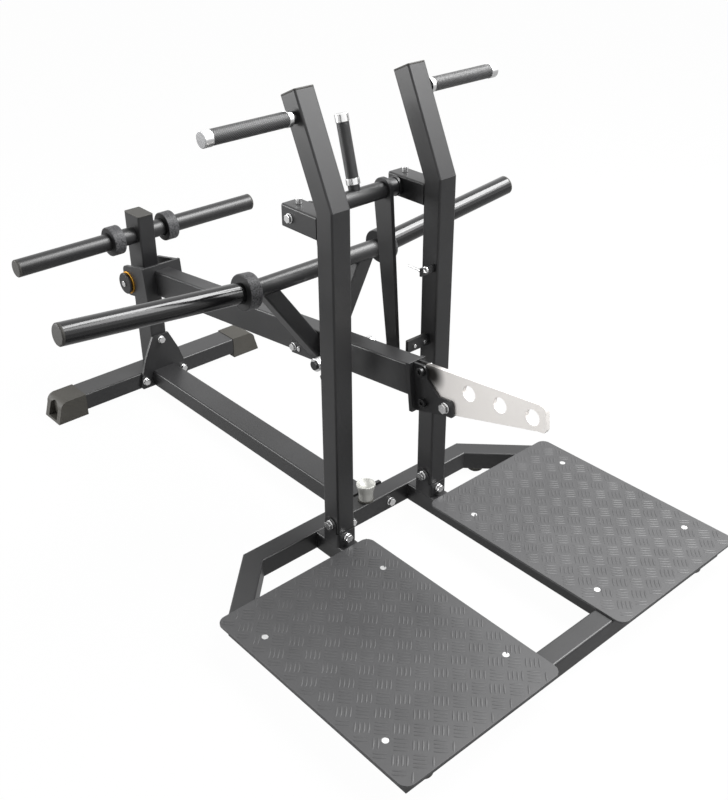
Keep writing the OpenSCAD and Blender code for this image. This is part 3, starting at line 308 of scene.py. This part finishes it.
# %% Dull materials
rubber = coated("moulded black rubber", "#3a3833", "#45433e", 0.62, 2.2, 0.3)
cap_plastic = coated("textured polyethylene cap", "#34332f", "#3c3a37", 0.55, 1.2, 0.25)
black_oxide = coated("black oxide steel", "#161617", "#1c1c1d", 0.34, 2.5, 0.05)
print("rubber, plastic and black steel")

# %% [markdown]
# ## Dressing the CAD parts
#
# A part with straight sawn edges looks like a drawing, because real steel has a
# small broken edge that catches the light. So a copy of a CAD part takes its
# place: its triangles are joined into whole faces, and every outward edge gets a
# narrow round. The copy has the same size and place.
#
# Smooth shading alone would smear the light over the large flat faces. Here each
# corner takes the mean direction of the faces that meet it gently, weighted by
# their area, so flats stay flat and only the rounds turn.

# %% Corner normals and pieces
gentle_deg, sharp_deg, flat_deg, join_mm = 48, 32, 0.5, 0.01


def set_corner_normals(mesh):
    faces = [(f.normal.copy(), f.area, list(f.vertices)) for f in mesh.polygons]
    meeting = [[] for _ in mesh.vertices]
    for normal, area, corners in faces:
        for corner in corners:
            meeting[corner].append((normal, area))
    gentle = math.cos(math.radians(gentle_deg))
    directions = []
    for normal, area, corners in faces:
        for corner in corners:
            total = Vector()
            for other, weight in meeting[corner]:
                if normal.dot(other) > gentle:
                    total += other * weight
            directions.append(total.normalized())
    mesh.shade_smooth()
    mesh.normals_split_custom_set(directions)


def finished(shape, name, body, finish, replaced=None, slot=None):
    mesh = bpy.data.meshes.new(name)
    shape.to_mesh(mesh)
    shape.free()
    set_corner_normals(mesh)
    mesh.materials.append(finish)
    piece = bpy.data.objects.new(name, mesh)
    scene.collection.objects.link(piece)
    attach(piece, body)
    if replaced:
        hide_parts(replaced)
    return piece


def merged_copy(name, join_flats=True):
    shape = bmesh.new()
    shape.from_mesh(frame["nodes"][name].data)
    bmesh.ops.remove_doubles(shape, verts=shape.verts, dist=join_mm * mm)
    if join_flats:
        bmesh.ops.dissolve_limit(shape, angle_limit=math.radians(flat_deg), verts=shape.verts,
                                 edges=shape.edges)
    return shape


def outward_edges(shape, least_deg):
    return [e for e in shape.edges if len(e.link_faces) == 2 and e.is_convex
            and e.calc_face_angle(0) > math.radians(least_deg)]


def rounded(shape, edges, width_mm):
    bmesh.ops.bevel(shape, geom=edges, offset=width_mm * mm, offset_type="OFFSET", affect="EDGES",
                    segments=2, profile=0.5, material=-1, clamp_overlap=True)


def dressed(name, width_mm=0):
    shape = merged_copy(name, join_flats=width_mm > 0)
    if width_mm:
        rounded(shape, outward_edges(shape, sharp_deg), width_mm)
    finish = own_finish.get(name, finish_of[slot_of[name]])
    return finished(shape, name + "_skin", body_of[name], finish, name, slot_of[name])


slot_of = {s["node"]: s["material_slot"] for s in frame["record"]["subparts"]}
finish_of = {
    "frame_paint": frame_coat, "plate_paint": plate_coat, "horn_paint": horn_gloss,
    "collar_paint": collar_coat, "chrome": chrome, "screw": zinc, "stainless": stainless,
    "bush": brass, "black_steel": black_oxide, "grip": handle_knurl, "rubber": rubber,
    "cap": cap_plastic,
}
own_finish = {
    "handle_ends": chrome_with_painted_shade_face, "release_grip": release_knurl, "bumper_cup": satin_zinc,
    "storage_horns": horn_satin,
}
for name, part in frame["nodes"].items():
    part.data.materials.clear()
    part.data.materials.append(finish_of[slot_of[name]])
print("finishes for", len(finish_of), "material slots")

# %% Edges of plates, flanges and caps
edge_mm = {
    "beam_flanges": 0.8, "fork_web": 0.8, "fork_ears": 0.8, "front_flange": 0.8,
    "cheek_plates": 0.6, "belt_tongue": 0.8, "prop_arms": 0.7, "v_pads": 0.5, "upright_sockets": 0.6,
    "stop_plates": 0.5, "stop_pad": 1.0, "storage_collars": 2.5, "load_collars": 2.5,
    "rear_blocks": 3.0, "tube_caps": 1.2, "frame_bolts": 0.7, "lever_bolts": 0.7,
    "lock_shaft": 0.7, "pivot_bushes": 0.7, "catch_sleeves": 0.7, "lock_washers": 0.6,
    "bracket_studs": 1.0, "cheek_screws": 0.7, "handle_ends": 0.7, "release_collars": 0.7,
    "lock_tube": 0.7, "lock_brackets": 0.5, "bumper_base": 1.0, "dome_feet": 1.5,
}
for name, width in edge_mm.items():
    dressed(name, width)
print("broken edges on", len(edge_mm), "parts")

# %% Round parts, whose facets only need smooth corners
round_parts = ("storage_horns", "load_horns", "storage_necks", "load_bar", "handle_grips",
               "handle_bars", "release_stem", "pivot_caps", "pivot_shaft", "storage_caps", "load_caps",
               "catch_pin", "eye_bolt", "release_grip", "bumper_cup")
for name in round_parts:
    dressed(name)
print("smooth corners on", len(round_parts), "parts")

# %% [markdown]
# ## Tread plates
#
# The foot plates are checker plate: a rolling mill presses groups of four short
# bars into the hot sheet, and each group stands across its neighbours. A bump
# texture would show the tone but not the way the bars catch the light at their
# ends, so each bar is a small solid: a stretched circle, raised by just under a
# millimetre and drawn in at the top. The bars stand on a copy of the CAD plate
# whose top is that much lower, and none is left where the plate ends or where
# a screw sits.

# %% One bar of the tread
bar_long, bar_wide, bar_high = 28, 5.2, 0.9
top_share = (0.88, 0.32)
bar_gap, group_pitch, group_bars = 9, 52.8, 4
bar_mesh = bpy.data.meshes.new("tread_bar")
shape = bmesh.new()
bmesh.ops.create_circle(shape, cap_ends=True, segments=12, radius=0.5)
bmesh.ops.scale(shape, vec=(bar_long * mm, bar_wide * mm, 1), verts=shape.verts)
raised = bmesh.ops.extrude_face_region(shape, geom=shape.faces[:])
top_points = [v for v in raised["geom"] if isinstance(v, bmesh.types.BMVert)]
bmesh.ops.translate(shape, vec=(0, 0, bar_high * mm), verts=top_points)
bmesh.ops.scale(shape, vec=(*top_share, 1), verts=top_points)
bmesh.ops.recalc_face_normals(shape, faces=shape.faces)
shape.to_mesh(bar_mesh)
shape.free()
print("one bar has", len(bar_mesh.polygons), "faces")

# %% Where the bars stand
screw_clear, plain_rim = 12, 2


def bar_places(low, high, first_group, screws):
    pitch, rim = group_pitch * mm, plain_rim * mm
    start = Vector([math.floor((low[k] - first_group[k] * mm) / pitch) for k in (0, 1)])
    stop = Vector([math.ceil((high[k] - first_group[k] * mm) / pitch) for k in (0, 1)])
    for i in range(int(start.x), int(stop.x) + 1):
        for j in range(int(start.y), int(stop.y) + 1):
            for step, turn in ((0, 45), (0.5, -45)):
                centre = Vector((first_group[0] * mm + (i + step) * pitch,
                                 first_group[1] * mm + (j + step) * pitch, 0))
                along = Vector((math.cos(math.radians(turn)), math.sin(math.radians(turn)), 0))
                across = Vector((-along.y, along.x, 0))
                for k in range(group_bars):
                    at = centre + across * (k - (group_bars - 1) / 2) * bar_gap * mm
                    ends = [at + along * s * bar_long / 2 * mm for s in (-1, 1)]
                    inside = all(low[c] + rim < end[c] < high[c] - rim for end in ends for c in (0, 1))
                    near_screw = any((Vector(s) - at).length < screw_clear * mm for s in screws)
                    if inside and not near_screw:
                        yield at, turn


print("groups of", group_bars, "bars,", group_pitch, "mm apart")

# %% [markdown]
# The plate itself comes from the CAD part. Its flat top goes down by the height
# of the tread, and its outer edge gets a small round.

# %% Plates with their tread
def islands(shape):
    left = set(shape.verts)
    while left:
        group, edge = set(), [left.pop()]
        while edge:
            point = edge.pop()
            group.add(point)
            for link in point.link_edges:
                other = link.other_vert(point)
                if other in left:
                    left.remove(other)
                    edge.append(other)
        yield group


top_zone, square_deg, plate_round = 0.1, 60, 0.8
screw_shape = merged_copy("plate_screws")
screw_centres = []
for island in islands(screw_shape):
    xs, ys = [v.co.x for v in island], [v.co.y for v in island]
    screw_centres.append(Vector(((min(xs) + max(xs)) / 2, (min(ys) + max(ys)) / 2, 0)))
screw_shape.free()
print(len(screw_centres), "plate screws")

first_groups = {"left": (-338.8, -540.3), "right": (364.1, -559.0)}
for side, first_group in first_groups.items():
    node = "foot_plate_" + side
    low, high = (Vector(c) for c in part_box(node))
    plate = merged_copy(node)
    top = [v for v in plate.verts if v.co.z > high.z - top_zone * mm]
    bmesh.ops.translate(plate, vec=(0, 0, -bar_high * mm), verts=top)
    rims = [e for e in outward_edges(plate, square_deg)
            if all(v.co.z > high.z - (bar_high + 2 * top_zone) * mm for v in e.verts)
            and all((Vector((v.co.x, v.co.y, 0)) - s).length > screw_clear * mm for v in e.verts
                    for s in screw_centres)]
    rounded(plate, rims, plate_round)
    count = 0
    for at, turn in bar_places(low, high, first_group, screw_centres):
        spot = Matrix.Translation((at.x, at.y, high.z - bar_high * mm))
        bar = bar_mesh.copy()
        bar.transform(spot @ Matrix.Rotation(math.radians(turn), 4, "Z"))
        plate.from_mesh(bar)
        bpy.data.meshes.remove(bar)
        count += 1
    finished(plate, "tread_plate_" + side, "frame", plate_coat, node, "plate_paint")
    print(side, "plate has", count, "bars")

# %% [markdown]
# ## Plate screws
#
# Each plate is held by four countersunk screws with a round socket mouth. The
# head stands nearly level with the tops of the bars and has a small bevel.

# %% Countersunk screws
screw_high = Vector(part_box("plate_screws")[1])
screws = bmesh.new()
head_r, head_low, bevel_wide, bevel_high, skirt_deep = 7.6, 0.2, 0.5, 0.1, 1.0
socket_r, socket_deep, socket_slope = 1.9, 1.6, 0.05
for centre in screw_centres:
    head = bmesh.ops.create_circle(screws, cap_ends=True, segments=32, radius=head_r * mm)["verts"]
    top = screw_high.z - head_low * mm
    bmesh.ops.translate(screws, vec=(centre.x, centre.y, top), verts=head)
    face = head[0].link_faces[0]
    bmesh.ops.inset_region(screws, faces=[face], thickness=bevel_wide * mm, depth=bevel_high * mm)
    bmesh.ops.inset_region(screws, faces=[face], thickness=(head_r - bevel_wide - socket_r) * mm, depth=0)
    bmesh.ops.inset_region(screws, faces=[face], thickness=socket_slope * mm, depth=-socket_deep * mm)
    rim = [e for e in screws.edges if len(e.link_faces) == 1]
    skirt = bmesh.ops.extrude_edge_only(screws, edges=rim)["geom"]
    low_points = [v for v in skirt if isinstance(v, bmesh.types.BMVert)]
    bmesh.ops.translate(screws, vec=(0, 0, -skirt_deep * mm), verts=low_points)
    bmesh.ops.contextual_create(screws, geom=[e for e in screws.edges if len(e.link_faces) == 1])
bmesh.ops.recalc_face_normals(screws, faces=screws.faces)
finished(screws, "countersunk_screws", "frame", screw_zinc, "plate_screws", "screw")
print("plate screws with heads of", 2 * head_r, "mm")

# %% [markdown]
# ## Studio
#
# The machine stands in a white studio. A wide soft light hangs high at the right,
# a second at the front right draws the sheen on the sloping heads of the uprights,
# and a long low one at the back left shines along the tongue. Rays that come
# straight from the camera see plain white, so that the background is clean
# without more light on the steel. Rays by way of the coat or the chrome see a
# bright sky and a dimmer floor, as in a real studio, where the floor lies in the
# object's shade.

# %% Floor and sky
camera_share, floor_seen, floor_half = 0.98, 0.52, 30
sky_light, sky_seen = 0.12, 1.22

floor_paint = bpy.data.materials.new("white studio floor")
floor_paint.use_nodes = True
tree = floor_paint.node_tree
floor_shader = tree.nodes["Principled BSDF"]
floor_shader.inputs["Base Color"].default_value = linear("#f4f4f4")
floor_shader.inputs["Roughness"].default_value = 0.9
path = add(tree, "ShaderNodeLightPath")
direct = add(tree, "ShaderNodeMath", {0: path.outputs["Is Camera Ray"],
                                      1: path.outputs["Is Transmission Ray"]}, operation="MAXIMUM")
direct_part = add(tree, "ShaderNodeMath", {0: direct.outputs[0], 1: camera_share}, operation="MULTIPLY")
share = add(tree, "ShaderNodeMath", {0: direct_part.outputs[0], 1: path.outputs["Is Glossy Ray"]},
            operation="MAXIMUM")
glow_level = add(tree, "ShaderNodeMapRange", {"Value": path.outputs["Is Glossy Ray"], "To Min": 1.0,
                                              "To Max": floor_seen})
glow = add(tree, "ShaderNodeEmission", {"Color": (1, 1, 1, 1), "Strength": glow_level.outputs["Result"]})
mixed = add(tree, "ShaderNodeMixShader", {0: share.outputs[0], 1: floor_shader.outputs[0],
                                          2: glow.outputs[0]})
tree.links.new(mixed.outputs[0], tree.nodes["Material Output"].inputs["Surface"])

floor_shape = bmesh.new()
bmesh.ops.create_grid(floor_shape, x_segments=1, y_segments=1, size=floor_half)
floor_mesh = bpy.data.meshes.new("floor")
floor_shape.to_mesh(floor_mesh)
floor_shape.free()
floor = bpy.data.objects.new("floor", floor_mesh)
scene.collection.objects.link(floor)
floor.data.materials.append(floor_paint)

sky = bpy.data.worlds.new("studio sky")
sky.use_nodes = True
scene.world = sky
tree = sky.node_tree
path = add(tree, "ShaderNodeLightPath")
seen_level = add(tree, "ShaderNodeMapRange", {"Value": path.outputs["Is Glossy Ray"],
                                              "To Min": sky_light, "To Max": sky_seen})
level = add(tree, "ShaderNodeMix", {"Factor": path.outputs["Is Camera Ray"],
                                    "A": seen_level.outputs["Result"], "B": 1.0})
tree.links.new(level.outputs["Result"], tree.nodes["Background"].inputs["Strength"])
tree.nodes["Background"].inputs["Color"].default_value = (1, 1, 1, 1)
print("floor and sky stand")


# %% Lamps
def soft_light(name, place, target, size, watts):
    lamp = bpy.data.lights.new(name, "AREA")
    lamp.shape = "RECTANGLE"
    lamp.size, lamp.size_y = size
    lamp.energy = watts
    holder = bpy.data.objects.new(name, lamp)
    scene.collection.objects.link(holder)
    holder.location = place
    holder.rotation_euler = (Vector(target) - Vector(place)).to_track_quat("-Z", "Y").to_euler()
    return holder


soft_light("high right", (2.0, -0.7, 3.4), (0.1, -0.3, 0.2), (1.8, 2.2), 188)
soft_light("front right", (2.0, -2.2, 3.0), (0, 0, 0.3), (2.0, 2.0), 72)
soft_light("back left", (-2.5, 2.5, 0.9), (0, 0, 0.5), (2.4, 1.2), 88)
print("three soft lights")

# %% [markdown]
# ## Camera
#
# The photograph's own camera was worked out from the machine's right angles: it
# stands at the front left, at about eye height, and looks down by about thirty
# degrees through a normal lens.

# %% Camera
yaw, pitch, roll = math.radians(48.3), math.radians(30.4), math.radians(-0.2)
forward = Vector((math.cos(pitch) * math.cos(yaw), math.cos(pitch) * math.sin(yaw), -math.sin(pitch)))
level_right = Vector((math.sin(yaw), -math.cos(yaw), 0))
level_up = level_right.cross(forward)
right = math.cos(roll) * level_right + math.sin(roll) * level_up
up = -math.sin(roll) * level_right + math.cos(roll) * level_up
lens = bpy.data.cameras.new("camera")
lens.sensor_fit = "HORIZONTAL"
film_mm, picture = 36, (728, 800)
lens.sensor_width = film_mm
focal_px, centre_px = 1065.2, (367.2, 397.0)
lens.lens = focal_px / picture[0] * film_mm
lens.shift_x = (picture[0] / 2 - centre_px[0]) / picture[0]
lens.shift_y = (centre_px[1] - picture[1] / 2) / picture[0]
camera = bpy.data.objects.new("camera", lens)
scene.collection.objects.link(camera)
camera_place = (-1.4322, -1.76725, 1.6258)
turn = Matrix((right, up, -forward)).transposed().to_4x4()
camera.matrix_world = Matrix.Translation(camera_place) @ turn
scene.camera = camera
scene.view_settings.view_transform = "Standard"
print("camera at", camera_place)
